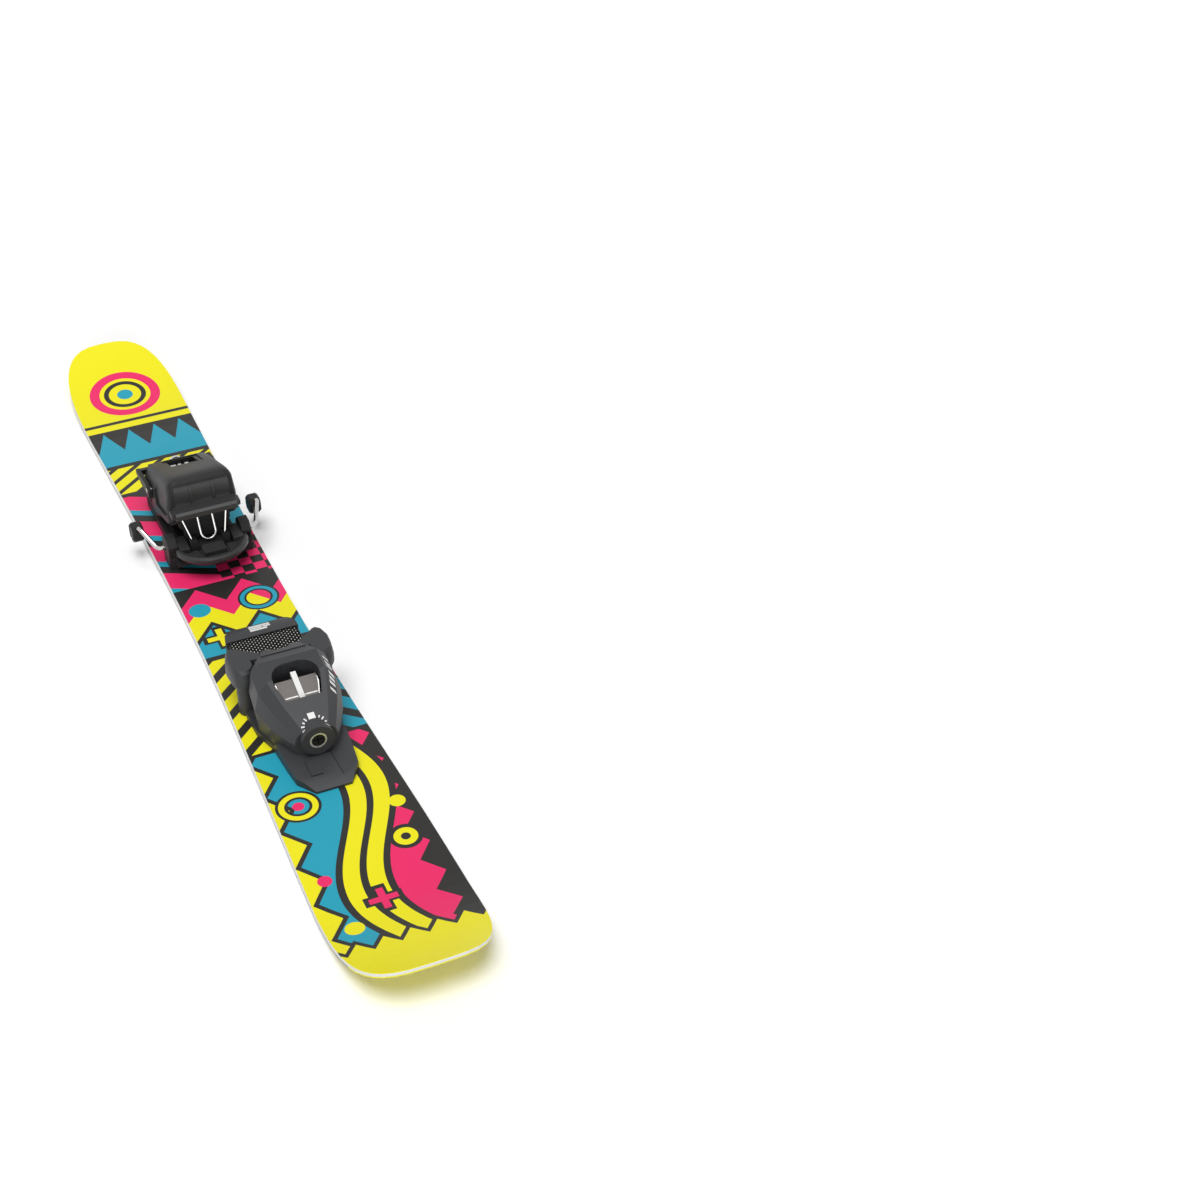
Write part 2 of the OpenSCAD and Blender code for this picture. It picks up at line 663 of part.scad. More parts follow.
module heel_lever() {
    arm_y = housing_y + gap;
    arm = [[11, 34.5], [11, 43.5], [2, 46], [-27, 41.5], [-36, 40], [-36, 35], [-6, 34]];
    bar = [[-29.6, 41], [-31, 35], [-36, 35], [-36, 39.5]];
    paddle = [[-31, 40.5], [-32, 34.5], [-40, 33.5], [-44, 35], [-44, 36.5], [-38, 39.5]];
    color(plastic) at_heel() difference() {
        union() {
            for (s = [1, -1]) mirror([0, s > 0 ? 0 : 1, 0]) across(arm, arm_y, arm_y + lever_t);
            across(bar, -arm_y - lever_t, arm_y + lever_t);
            across(paddle, -23, 23);
        }
        rod_y(lever_pivot[0], lever_pivot[1], lever_pin_r + running, -60, 60);
        translate([-40, 0, 47]) rotate([0, 90, 0]) cylinder(r = 10, h = 30, center = true);
    }
}

module heel_lever_pins() {
    color(steel) at_heel() for (s = [1, -1]) mirror([0, s > 0 ? 0 : 1, 0])
        rod_y(lever_pivot[0], lever_pivot[1], lever_pin_r, housing_y - 6, housing_y + gap + lever_t);
}

module heel_release_screw() {
    color(steel) at_heel() difference() {
        union() {
            rod_x(heel_axis_z, heel_screw_r, screw_rear - gap, 55);
            rod_x(heel_axis_z, 6, screw_rear - gap - 2.5, screw_rear - gap);
        }
        translate([screw_rear - gap - 2.5, 0, heel_axis_z]) rotate([0, -90, 0]) cross_slot(7, 1.6);
    }
}

indicator_x = [-8.5, 18];

module heel_indicator() {
    color("#d9d9d9") at_heel() difference() {
        translate([indicator_x[0], -chamber_y + 1, chamber_z[0] + 1])
            cube([indicator_x[1] - indicator_x[0], 2 * chamber_y - 2, chamber_z[1] - chamber_z[0] - 2]);
        rod_x(heel_axis_z, heel_screw_r + running, -20, 90);
    }
}

module heel_spring() {
    color(steel) at_heel() translate([indicator_x[1] + 0.2, 0, heel_axis_z])
        coil(chamber_x[1] - indicator_x[1] - 3.8, 6.2, 2.4, 6);
}

/* Brake, carried on the front of the heel chassis */

axle_x = 73;
ear_r = 12;
ear_y = [31, 40];
tower_x = [67.6, 71.4];
tower_top = 53;
block_x = [76, 85.5];
block_y = 19;
block_top = 22;
horn_top = 27;
tray_x = 80;
tray_r = 37;
tray_y = 34;
tray_z = [14.5, 25.5];
tray_floor = 19.5;
cheek_y = [21, 30.5];
cut_x = 89;
u_half = 7;
u_foot = [80.5, 32];
u_lean = 29;
u_height = 22.5;

module brake_base() {
    floor_z = track_t + gap;
    color(plastic) at_heel() difference() {
        union() {
            translate([chassis_x[1], -20, floor_z]) cube([12, 40, 4.5]);
            translate([chassis_x[1] + 2, -ear_y[0] - 3, floor_z]) cube([38, 2 * ear_y[0] + 6, 3.7]);
            tower(floor_z);
            block(floor_z);
            for (s = [1, -1]) mirror([0, s > 0 ? 0 : 1, 0]) ear();
        }
        rod_y(axle_x, axle_z, arm_d / 2 + running, -60, 60);
        u_legs(running);
        for (s = [1, -1]) {
            guide(s, running);
            translate([block_x[0] - 1, s > 0 ? 13.9 : -17.6, horn_top - 4.8]) cube([6.8, 3.7, 10]);
        }
    }
}

// Upright plate under the heel's lip that holds the ends of the standing wires.
module tower(floor_z) {
    translate([tower_x[0], 0, 0]) rotate([90, 0, 90]) linear_extrude(tower_x[1] - tower_x[0])
        polygon([[-20, floor_z], [20, floor_z], [20, 31], [24.3, 36], [24.3, tower_top - 3],
            [21, tower_top],
            [-21, tower_top], [-24.3, tower_top - 3], [-24.3, 36], [-20, 31]]);
}

// Block in front of the tower, with a horn at each end whose notch takes the foot of a guide wire.
module block(floor_z) {
    half = [[block_y, floor_z], [block_y, horn_top], [block_y - 7, horn_top], [block_y - 7, block_top]];
    translate([block_x[0], 0, 0]) rotate([90, 0, 90]) linear_extrude(block_x[1] - block_x[0])
        polygon(concat(half, [for (i = [len(half) - 1 : -1 : 0]) [-half[i][0], half[i][1]]]));
}

// Lug that carries the axle on one side, with a square pocket in its front face.
module ear() {
    c = ear_r * cos(22.5);
    e = ear_r * sin(22.5);
    half = [[9, gap - axle_z], [c, -e], [c, e], [e, c]];
    side = concat(half, [for (i = [len(half) - 1 : -1 : 0]) [-half[i][0], half[i][1]]]);
    difference() {
        across([for (p = side) [axle_x, axle_z] + p], ear_y[0], ear_y[1]);
        translate([axle_x + 8.5, ear_y[0] + 2, axle_z - 7]) cube([10, 5, 9]);
    }
}

module brake_pedal() {
    color(plastic) at_heel() difference() {
        union() {
            tray();
            for (s = [1, -1]) mirror([0, s > 0 ? 0 : 1, 0])
                across([[axle_x - 8, axle_z - 5], [cut_x + 2, axle_z - 4.5], [cut_x + 2, tray_z[1] - 1],
                    [axle_x - 4, tray_z[1]], [axle_x - 8, axle_z + 2]], cheek_y[0], cheek_y[1]);
        }
        rod_y(axle_x, axle_z, arm_d / 2 + running, -60, 60);
        for (s = [1, -1]) mirror([0, s > 0 ? 0 : 1, 0])
            rod_y(axle_x, axle_z, ear_r + 0.6, cheek_y[1] + 0.01, ear_y[1] + 5);
    }
}

// Half-moon tray with a raised rim, a pad in the middle and a groove on each side of it.
module tray() {
    middle = [tray_x, 0];
    rim = mirror_y([for (a = [10 : 10 : 90]) [tray_x + tray_r * cos(a), min(tray_y, tray_r * sin(a))]]);
    rings = [[tray_z[0], 0.84], [tray_z[0] + 2.5, 0.94], [tray_z[0] + 6, 1], [tray_z[1] - 2, 1],
        [tray_z[1], 0.965]];
    difference() {
        loft([for (k = rings) [for (p = scaled(rim, middle, k[1])) [p[0], p[1], k[0]]]]);
        translate([tray_x, 0, tray_floor])
            cylinder(r1 = tray_r - 11, r2 = tray_r - 3.5, h = tray_z[1] - tray_floor + 0.01);
        for (s = [1, -1]) translate([cut_x - 1, s * 12.5 - 1.1, tray_floor - 1.8]) cube([22, 2.2, 20]);
        translate([0, -60, -1]) cube([cut_x, 120, 100]);
    }
    translate([cut_x, -10.5, tray_floor - 2]) cube([14, 21, 6.6]);
}

// Standing spring: a U of wire that leans back into the tower.
module u_legs(grow = 0) {
    translate([u_foot[0], 0, u_foot[1]]) rotate([0, -u_lean, 0]) for (s = [1, -1])
        translate([0, s * u_half, 0])
        cylinder(r = spring_wire_d / 2 + grow, h = u_height + 2 * grow);
}

module brake_spring() {
    color(steel) at_heel() {
        u_legs();
        translate([u_foot[0], 0, u_foot[1]]) rotate([0, -u_lean, 0]) rotate([90, 0, 90])
            rotate([0, 0, 180])
            rotate_extrude(angle = 180) translate([u_half, 0]) circle(d = spring_wire_d);
    }
}

// Straight wire from one horn of the block up to the tower.
module guide(s, grow = 0) {
    low = [80, s * 15.2, horn_top - 4.2];
    high = [69, s * 22, 48];
    ends = 6 * grow * unit(high - low);
    rod(low - ends, high + ends, spring_wire_d / 2 + grow);
}

module brake_guides() {
    color(steel) at_heel() for (s = [1, -1]) guide(s);
}

arm_bend_r = 6;
arm_top = [axle_x - shoe_reach + 15, axle_z + 10];
arm_end = [axle_x - shoe_reach + 1, axle_z - 1];

// One unbroken wire: through cheek and ear, out past the ski's side and back to the shoe.
module brake_arm(s) {
    corners = [[axle_x, cheek_y[0] + 1, axle_z], [axle_x, arm_side - 10, axle_z], [arm_top[0],
        arm_side, arm_top[1]],
        [arm_end[0], arm_side, arm_end[1]]];
    color(steel) at_heel() mirror([0, s > 0 ? 0 : 1, 0]) tube(bent(corners, arm_bend_r), arm_d);
}
module brake_arm_left() { brake_arm(1); }
module brake_arm_right() { brake_arm(-1); }

module brake_shoe(s) {
    c = [axle_x - shoe_reach, axle_z - 3];
    side = [for (p = [[-7, -8.5], [4, -9], [8.5, -4.5], [8.5, 4.5], [5, 8.5], [-5, 8], [-9, 3.5],
        [-9, -4.5]]) c + p];
    color(plastic) at_heel() mirror([0, s > 0 ? 0 : 1, 0]) difference() {
        loft([for (k = [[-5.5, 0.86], [-3.5, 1], [3.5, 1], [5.5, 0.86]])
            [for (p = scaled(side, c, k[1])) [p[0], arm_side + k[0], p[1]]]]);
        rod([arm_end[0], arm_side, arm_end[1]], [arm_top[0], arm_side, arm_top[1]], arm_d / 2 + running);
        translate([c[0] - 4, arm_side + 4.3, c[1] - 20]) cube([2, 5, 40]);
    }
}
module brake_shoe_left() { brake_shoe(1); }
module brake_shoe_right() { brake_shoe(-1); }

base_sheet();
edge_left();
edge_right();
lower_laminate();
wood_core();
sidewall_left();
sidewall_right();
tip_spacer();
tail_spacer();
upper_laminate();
topsheet();
toe_base();
toe_screws();
toe_housing();
toe_wing_left();
toe_wing_right();
toe_wing_pins();
toe_release_screw();
toe_spring();
toe_carriage();
toe_pointer();
afd_block();
afd_slider();
heel_track();
heel_screws();
heel_chassis();
length_screw();
heel_pivot_pin();
heel_housing();
heel_cup();
heel_lever();
heel_lever_pins();
heel_release_screw();
heel_spring();
heel_indicator();
brake_base();
brake_pedal();
brake_spring();
brake_guides();
brake_arm_left();
brake_arm_right();
brake_shoe_left();
brake_shoe_right();
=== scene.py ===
# %% [markdown]
# This lesson dresses a short twin-tip ski with a step-in binding. The solids come from CAD as a fixed
# frame: they already have the right size and place, and each rides on the body that moves it. Blender
# adds what CAD doesn't say: finishes, softened edges, small marks and light.
# %% Load the frame
import json
import math

import bmesh
import bpy
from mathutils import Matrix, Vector


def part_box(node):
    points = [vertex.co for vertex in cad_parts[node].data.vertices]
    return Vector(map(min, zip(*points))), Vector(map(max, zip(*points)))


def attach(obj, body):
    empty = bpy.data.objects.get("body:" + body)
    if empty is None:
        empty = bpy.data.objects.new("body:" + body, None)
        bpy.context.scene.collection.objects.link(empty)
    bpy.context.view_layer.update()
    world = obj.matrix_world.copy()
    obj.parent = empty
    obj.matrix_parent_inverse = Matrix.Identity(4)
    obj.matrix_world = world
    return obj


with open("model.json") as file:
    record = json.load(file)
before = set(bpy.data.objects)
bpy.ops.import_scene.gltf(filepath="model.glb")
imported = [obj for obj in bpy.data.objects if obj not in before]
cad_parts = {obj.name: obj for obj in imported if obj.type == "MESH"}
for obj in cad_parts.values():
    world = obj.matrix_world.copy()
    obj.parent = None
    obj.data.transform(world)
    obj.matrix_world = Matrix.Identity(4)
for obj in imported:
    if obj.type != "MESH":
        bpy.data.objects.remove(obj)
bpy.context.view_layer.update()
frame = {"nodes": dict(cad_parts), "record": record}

nodes = frame["nodes"]
MM = 0.001
print("nodes loaded:", len(nodes))

# %% [markdown]
# The camera stands where the photographer's did. It could be pushed about until the picture fits, but a
# ski of known length seen in perspective fixes the distance, the height and the focal length together, so
# that they were worked out from its outline. A Blender camera looks along its own -Z, and CAMERA_BACK is
# its +Z.
# %% Place the camera
CAMERA_AT = Vector((1.58477, -0.36398, 1.23835))
CAMERA_BACK = Vector((0.7257, -0.3292, 0.6043))
LENS_MM = 66.63
SENSOR_MM = 36


def put_in_scene(piece):
    bpy.context.scene.collection.objects.link(piece)
    return piece


camera = put_in_scene(bpy.data.objects.new("camera", bpy.data.cameras.new("camera")))
camera.data.lens = LENS_MM
camera.data.sensor_width = SENSOR_MM
camera.location = CAMERA_AT
camera.rotation_euler = CAMERA_BACK.to_track_quat("Z", "Y").to_euler()
bpy.context.scene.camera = camera
print("camera at", tuple(round(c, 3) for c in CAMERA_AT))

# %% [markdown]
# Many finishes below depend on the place on the surface: where a dot lies, how far a stripe reaches.
# Their nodes could be wired one at a time, but shader maths reads best as ordinary Python. The class
# below wraps one output socket, and each operator on it adds a Math node, so that a mask can be written
# as an expression. One method adds every other kind of node.
# %% Wrap sockets so that expressions make nodes


class Socket:
    """An output socket of a material, with operators that add Math nodes."""

    def __init__(self, tree, link):
        self.tree = tree
        self.link = link

    def add(self, kind, settings=None, sockets=None, output=0):
        """Adds a node: its settings first, then the values or links of its sockets."""
        node = self.tree.nodes.new(kind)
        for name, value in (settings or {}).items():
            setattr(node, name, value)
        for name, value in (sockets or {}).items():
            if isinstance(value, Socket):
                self.tree.links.new(value.link, node.inputs[name])
            else:
                node.inputs[name].default_value = value
        return Socket(self.tree, node.outputs[output])

    def maths(self, operation, a, b=0.0):
        return self.add("ShaderNodeMath", {"operation": operation}, {0: a, 1: b})

    def __add__(self, other):
        return self.maths("ADD", self, other)

    def __radd__(self, other):
        return self.maths("ADD", other, self)

    def __sub__(self, other):
        return self.maths("SUBTRACT", self, other)

    def __rsub__(self, other):
        return self.maths("SUBTRACT", other, self)

    def __mul__(self, other):
        return self.maths("MULTIPLY", self, other)

    def __rmul__(self, other):
        return self.maths("MULTIPLY", other, self)

    def __truediv__(self, other):
        return self.maths("DIVIDE", self, other)

    def __pow__(self, other):
        return self.maths("POWER", self, other)

    def __mod__(self, other):
        return self.maths("FLOORED_MODULO", self, other)

    def __lt__(self, other):
        return self.maths("LESS_THAN", self, other)

    def __gt__(self, other):
        return self.maths("GREATER_THAN", self, other)

    def __and__(self, other):
        return self.maths("MINIMUM", self, other)

    def __or__(self, other):
        return self.maths("MAXIMUM", self, other)

    def __abs__(self):
        return self.maths("ABSOLUTE", self)

    def sine(self):
        return self.maths("SINE", self)

    def over(self, below, above):
        """Colour below where this mask is 0, and above where it is 1."""
        return self.add("ShaderNodeMix", {"data_type": "RGBA"}, {0: self, 6: below, 7: above}, output=2)


print("operators ready")

# %% [markdown]
# Each finish is one material. It could be built in the shader editor, but every finish here needs the
# same few things, so that a class holds them: a Principled shader whose plain values sit on its own
# sockets, the place on the surface, noise, and a bump that feeds the normal.
# %% Start a material


def opaque(color):
    return (*color, 1)


class Finish:
    """A material with one Principled shader, and a starting socket for the maths."""

    def __init__(self, name, color, roughness, metallic=0.0, specular=0.5):
        self.material = bpy.data.materials.new(name)
        self.material.use_nodes = True
        self.tree = self.material.node_tree
        self.shader = self.tree.nodes["Principled BSDF"]
        place = self.tree.nodes.new("ShaderNodeTexCoord")
        self.place = Socket(self.tree, place.outputs["Object"])
        self.set("Base Color", opaque(color))
        self.set("Roughness", roughness)
        self.set("Metallic", metallic)
        self.set("Specular IOR Level", specular)

    def set(self, name, value):
        if isinstance(value, Socket):
            self.tree.links.new(value.link, self.shader.inputs[name])
        else:
            self.shader.inputs[name].default_value = value

    def axis(self, letter):
        """One coordinate of the surface point, in metres in the ski's frame."""
        return self.place.add("ShaderNodeSeparateXYZ", None, {0: self.place}, output="XYZ".index(letter))

    def noise(self, scale, detail=3.0, stretch=(1, 1, 1)):
        """Noise that is drawn out along an axis where its stretch is below 1."""
        spread = self.place.add("ShaderNodeVectorMath", {"operation": "MULTIPLY"},
                                {0: self.place, 1: stretch})
        return self.place.add("ShaderNodeTexNoise", None,
                              {"Vector": spread, "Scale": scale, "Detail": detail})

    def bump(self, height, strength, distance):
        self.set("Normal", self.place.add("ShaderNodeBump", None,
            {"Height": height, "Strength": strength, "Distance": distance}))


print("finishes can be made")

# %% [markdown]
# The housings are moulded from filled plastic: black at the heel and the brake, dark grey at the toe. A
# single flat colour would look like a toy, and a scanned texture isn't needed for so even a surface. Fine
# noise in the bump is the grain of the mould, and broad noise lets roughness and colour drift a little
# over each piece.
# %% Make the moulded plastics
GRAIN_DEPTH = 0.4 * MM
DRIFT_SCALE = 18.0
ROUGHNESS_DRIFT = 0.12
PATCH_SCALE = 9.0
PATCH_SHADE = 0.82


def moulded(name, color, roughness, grain_scale, grain_strength, specular=0.3):
    """Moulded plastic: fine grain in the bump, roughness and colour that drift a little."""
    finish = Finish(name, color, roughness, specular=specular)
    grain = finish.noise(grain_scale, detail=2.0)
    drift = finish.noise(DRIFT_SCALE)
    finish.set("Roughness", roughness - ROUGHNESS_DRIFT / 2 + ROUGHNESS_DRIFT * drift)
    patches = finish.noise(PATCH_SCALE, detail=2.0)
    darker = tuple(PATCH_SHADE * c for c in color)
    finish.set("Base Color", patches.over(opaque(darker), opaque(color)))
    finish.bump(grain, grain_strength, GRAIN_DEPTH)
    return finish.material


black_plastic = moulded("black_plastic", (0.0300, 0.0300, 0.0309), roughness=0.38,
                        grain_scale=1500.0, grain_strength=0.06, specular=0.06)
satin_black = moulded("satin_black", (0.0310, 0.0310, 0.0320), roughness=0.40,
                      grain_scale=1500.0, grain_strength=0.04, specular=0.32)
grey_plastic = moulded("grey_plastic", (0.030, 0.031, 0.034), roughness=0.45,
                       grain_scale=1300.0, grain_strength=0.08, specular=0.35)
white_plastic = moulded("white_plastic", (0.80, 0.80, 0.79), roughness=0.42,
                        grain_scale=900.0, grain_strength=0.05)
print("moulded plastics:", black_plastic.name, satin_black.name, grey_plastic.name, white_plastic.name)

# %% [markdown]
# Metal is a Principled shader with metallic 1. The ground edges have lines along the ski, the carrier in
# the toe has lines across it, and plated wire and turned screws have a fine even grain. Anisotropic
# shading could give the lines, but it needs tangents; noise that is stretched along one axis costs little
# and needs no unwrapping.
# %% Make the metals
LINE_DEPTH = 0.2 * MM
EVEN_GRAIN = (1, 1, 1)
LINES_ALONG = (0.05, 1, 1)
LINES_ACROSS = (1, 0.1, 1)


def metal(name, color, roughness, scale, stretch):
    """Bare metal, whose roughness varies by a quarter each way with its lines."""
    finish = Finish(name, color, roughness, metallic=1.0)
    lines = finish.noise(scale, detail=2.0, stretch=stretch)
    finish.set("Roughness", roughness * 0.75 + roughness * 0.5 * lines)
    finish.bump(lines, strength=0.05, distance=LINE_DEPTH)
    return finish.material


chrome = metal("chrome_wire", (0.52, 0.51, 0.50), roughness=0.13, scale=400.0, stretch=EVEN_GRAIN)
steel = metal("turned_steel", (0.60, 0.59, 0.57), roughness=0.28, scale=600.0, stretch=EVEN_GRAIN)
edge_steel = metal("edge_steel", (0.30, 0.30, 0.31), roughness=0.32, scale=500.0, stretch=LINES_ALONG)
carrier_metal = metal("carrier_metal", (0.115, 0.104, 0.100), roughness=0.48, scale=700.0,
                      stretch=LINES_ACROSS)
print("metals:", chrome.name, steel.name, edge_steel.name, carrier_metal.name)

# %% [markdown]
# The toe's release screw shows its head at the front: a bright rim round a recess whose shade is painted
# in, as a dark disc in the middle of the head. The two could be two materials, on faces picked by hand.
# Instead the distance from the screw's own axis picks the colour, and the axis is the middle of the
# screw's box.
# %% Ring the toe's release screw
RIM_WIDTH = 1.55 * MM
RIM_STEEL = (0.82, 0.80, 0.77)
# painted shade: this dark colour stands in for the shade inside the screw head's recess
PAINTED_RECESS_SHADE = (0.035, 0.034, 0.033)


def ringed_screw(node):
    finish = Finish("ringed_screw", RIM_STEEL, 0.4, metallic=1.0)
    low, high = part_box(node)
    axis_height = (low[2] + high[2]) / 2
    head_radius = (high[2] - low[2]) / 2
    away = (finish.axis("Y") ** 2.0 + (finish.axis("Z") - axis_height) ** 2.0) ** 0.5
    rim = away > head_radius - RIM_WIDTH
    # inside the rim the head is painted dark, as the shade of its recess
    finish.set("Base Color", rim.over(opaque(PAINTED_RECESS_SHADE), opaque(RIM_STEEL)))
    finish.set("Roughness", 0.5 - 0.1 * rim)
    return finish.material


toe_dial = ringed_screw("toe_release_screw")
print("screw finish:", toe_dial.name)

# %% [markdown]
# The ski itself is a sandwich. Its base is sintered plastic, ground with fine lines along the ski, and
# its sidewalls and glass layers are pale plastic with a satin face. They could share one white, but the
# glass is duller and warmer than the sidewall, and the line between them shows along the edge.
# %% Make the ski's plain layers
YELLOW = (0.83, 0.76, 0.012)
GRINDING_LINES = (0.02, 1, 1)
FADED = 0.9


def ground_base():
    finish = Finish("ground_base", YELLOW, 0.34)
    lines = finish.noise(scale=900.0, detail=2.0, stretch=GRINDING_LINES)
    finish.set("Roughness", 0.28 + 0.14 * lines)
    faded = tuple(FADED * c for c in YELLOW)
    finish.set("Base Color", finish.noise(scale=6.0).over(opaque(faded), opaque(YELLOW)))
    finish.bump(lines, strength=0.06, distance=LINE_DEPTH)
    return finish.material


base_plastic = ground_base()
sidewall_plastic = moulded("sidewall_plastic", (0.80, 0.80, 0.79), roughness=0.40,
                           grain_scale=600.0, grain_strength=0.05)
glass_laminate = moulded("glass_laminate", (0.76, 0.76, 0.71), roughness=0.55,
                         grain_scale=700.0, grain_strength=0.1)
print("ski layers:", base_plastic.name, sidewall_plastic.name, glass_laminate.name)

# %% [markdown]
# The core is wood, with its grain along the ski. It shows only when the layers are taken apart, so that
# one noise is enough: drawn out along the ski, it mixes a dark and a light wood and lifts the bump.
# %% Make the core's wood
DARK_WOOD = (0.36, 0.21, 0.09)
LIGHT_WOOD = (0.62, 0.43, 0.23)
WOOD_GRAIN = (0.04, 1, 1)
WOOD_GRAIN_DEPTH = 0.3 * MM


def core_wood():
    finish = Finish("core_wood", LIGHT_WOOD, roughness=0.6)
    grain = finish.noise(scale=120.0, detail=4.0, stretch=WOOD_GRAIN)
    finish.set("Base Color", grain.over(opaque(DARK_WOOD), opaque(LIGHT_WOOD)))
    finish.bump(grain, strength=0.15, distance=WOOD_GRAIN_DEPTH)
    return finish.material


wood = core_wood()
print("core finish:", wood.name)

# %% [markdown]
# The top sheet carries a print. A print could be an image, but a formula stays sharp at any size: each
# motif is a mask made from the surface's own x and y. The class below knows the shapes that the print is
# made of, in millimetres of the ski's frame.
# %% Draw shapes on the top sheet


class Sheet:
    """The top sheet's plane: x along the ski and y across it, with masks for plain shapes."""

    def __init__(self, finish):
        self.x = finish.axis("X") * (1 / MM)
        self.y = finish.axis("Y") * (1 / MM)
        self.left = self.y > 0
        self.right = self.y < 0

    def between(self, low, high):
        return (self.x > low) & (self.x < high)

    def line(self, start, width=6):
        """A plain line across the ski."""
        return self.between(start, start + width)

    def away(self, cx, cy):
        return ((self.x - cx) ** 2.0 + (self.y - cy) ** 2.0) ** 0.5

    def ring(self, cx, cy, radius, width):
        return abs(self.away(cx, cy) - radius) < width / 2

    def disc(self, cx, cy, radius):
        return self.away(cx, cy) < radius

    def plus(self, cx, cy, arm, width):
        dx = abs(self.x - cx)
        dy = abs(self.y - cy)
        return ((dx < arm) & (dy < width / 2)) | ((dy < arm) & (dx < width / 2))

    def hatch(self, pitch, width, slope):
        return ((self.x + slope * self.y) % pitch) < width

    def checks(self, size):
        return abs(((self.x % (2 * size)) < size) - ((self.y % (2 * size)) < size))


def zigzag(value, period, height):
    """A saw edge: nothing in the middle of each period, and this high at its ends."""
    return height * abs(value % period - period / 2) / (period / 2)


print("shapes ready")

# %% [markdown]
# The print is laid in zones from tail to tip, as a screen printer lays inks: each line is a mask and the
# ink that goes over what is there. One long list could hold all of it, but a function for each zone is
# easier to change. First come the tail, with a target behind a row of teeth, and the heel zone, with
# stripes and checks.
# %% Ink the tail and the heel zone
PINK = (0.80, 0.026, 0.140)
TEAL = (0.020, 0.330, 0.455)
INK = (0.020, 0.019, 0.018)
TARGET = (-414, 0)
TEETH_X = (-356, -284)
HEEL_X = (-232, -62)
CHECKS_FROM_X = -140


def tail_inks(sheet):
    teeth = sheet.between(*TEETH_X)
    return [
        (sheet.ring(*TARGET, radius=31, width=10), PINK),
        (sheet.ring(*TARGET, radius=19, width=5), INK),
        (sheet.disc(*TARGET, radius=8), TEAL),
        (sheet.line(-371, width=5), INK),
        (teeth, TEAL),
        (teeth & (sheet.x < -352 + zigzag(sheet.y, period=26, height=36)), INK),
        (sheet.line(-290), INK),
        (sheet.between(TEETH_X[1], HEEL_X[0]) & sheet.hatch(pitch=19, width=6, slope=0.8), INK),
    ]


def heel_inks(sheet):
    zone = sheet.between(*HEEL_X)
    return [
        (zone, PINK),
        (zone & sheet.hatch(pitch=46, width=20, slope=-0.5) & sheet.right, INK),
        (zone & sheet.hatch(pitch=46, width=9, slope=-0.5) & sheet.right, TEAL),
        (sheet.between(HEEL_X[0], CHECKS_FROM_X) & sheet.left, TEAL),
        (sheet.between(CHECKS_FROM_X, HEEL_X[1]) & sheet.left & sheet.checks(size=11), INK),
        (sheet.line(-238), INK),
    ]


print("zones drawn: tail, heel")

# %% [markdown]
# Between the two halves of the binding the print steps through saw-edged bands, with a cross, a ring and
# discs on top. Under the toe piece it is hatched, one way on each side, between two plain lines.
# %% Ink the middle and the toe zone
MIDDLE_X = (-62, 46)
MIDDLE_BANDS = ((-58, PINK), (-34, YELLOW), (-6, INK), (0, TEAL))
CROSS = (20, -26)
RING = (-24, 22)
DISC = (26, 30)
TOE_X = (46, 190)
HATCH_FROM_X = 112


def middle_inks(sheet):
    zone = sheet.between(*MIDDLE_X)
    saw = zigzag(sheet.y + 6, period=44, height=26)
    bands = [(zone & (sheet.x > start + saw), ink) for start, ink in MIDDLE_BANDS]
    return [(zone, INK)] + bands + [
        (sheet.plus(*CROSS, arm=17, width=11), INK),
        (sheet.plus(*CROSS, arm=13, width=6), YELLOW),
        (sheet.disc(-26, -33, radius=10), TEAL),
        (sheet.ring(*RING, radius=15, width=8), INK),
        (sheet.ring(*RING, radius=15, width=4), TEAL),
        (sheet.disc(*DISC, radius=12), INK),
        (sheet.disc(*DISC, radius=8), PINK),
    ]


def toe_inks(sheet):
    right = sheet.between(*TOE_X) & sheet.right
    left = sheet.between(HATCH_FROM_X, TOE_X[1]) & sheet.left
    return [
        (sheet.between(*TOE_X), PINK),
        (right, YELLOW),
        (right & sheet.hatch(pitch=26, width=11, slope=0.9), INK),
        (left, TEAL),
        (left & sheet.hatch(pitch=30, width=12, slope=-0.9), INK),
        (sheet.line(44), INK),
        (sheet.line(186), INK),
    ]


print("zones drawn: middle, toe")

# %% [markdown]
# Ahead of the binding a double ribbon winds to the tip, a sine of the place along the ski. The field is
# teal on one side of it and pink on the other, with saw edges along the sidewalls and before the plain
# tip.
# %% Ink the front and the tip
FRONT_X = (190, 446)
OUTLINE = 6
RIBBON_MIDDLE, RIBBON_SWING, RIBBON_WAVE = 6, 20, 250
FRONT_RING = (262, -34)
FRONT_CROSS = (388, -6)
FRONT_DISC = (330, 34)


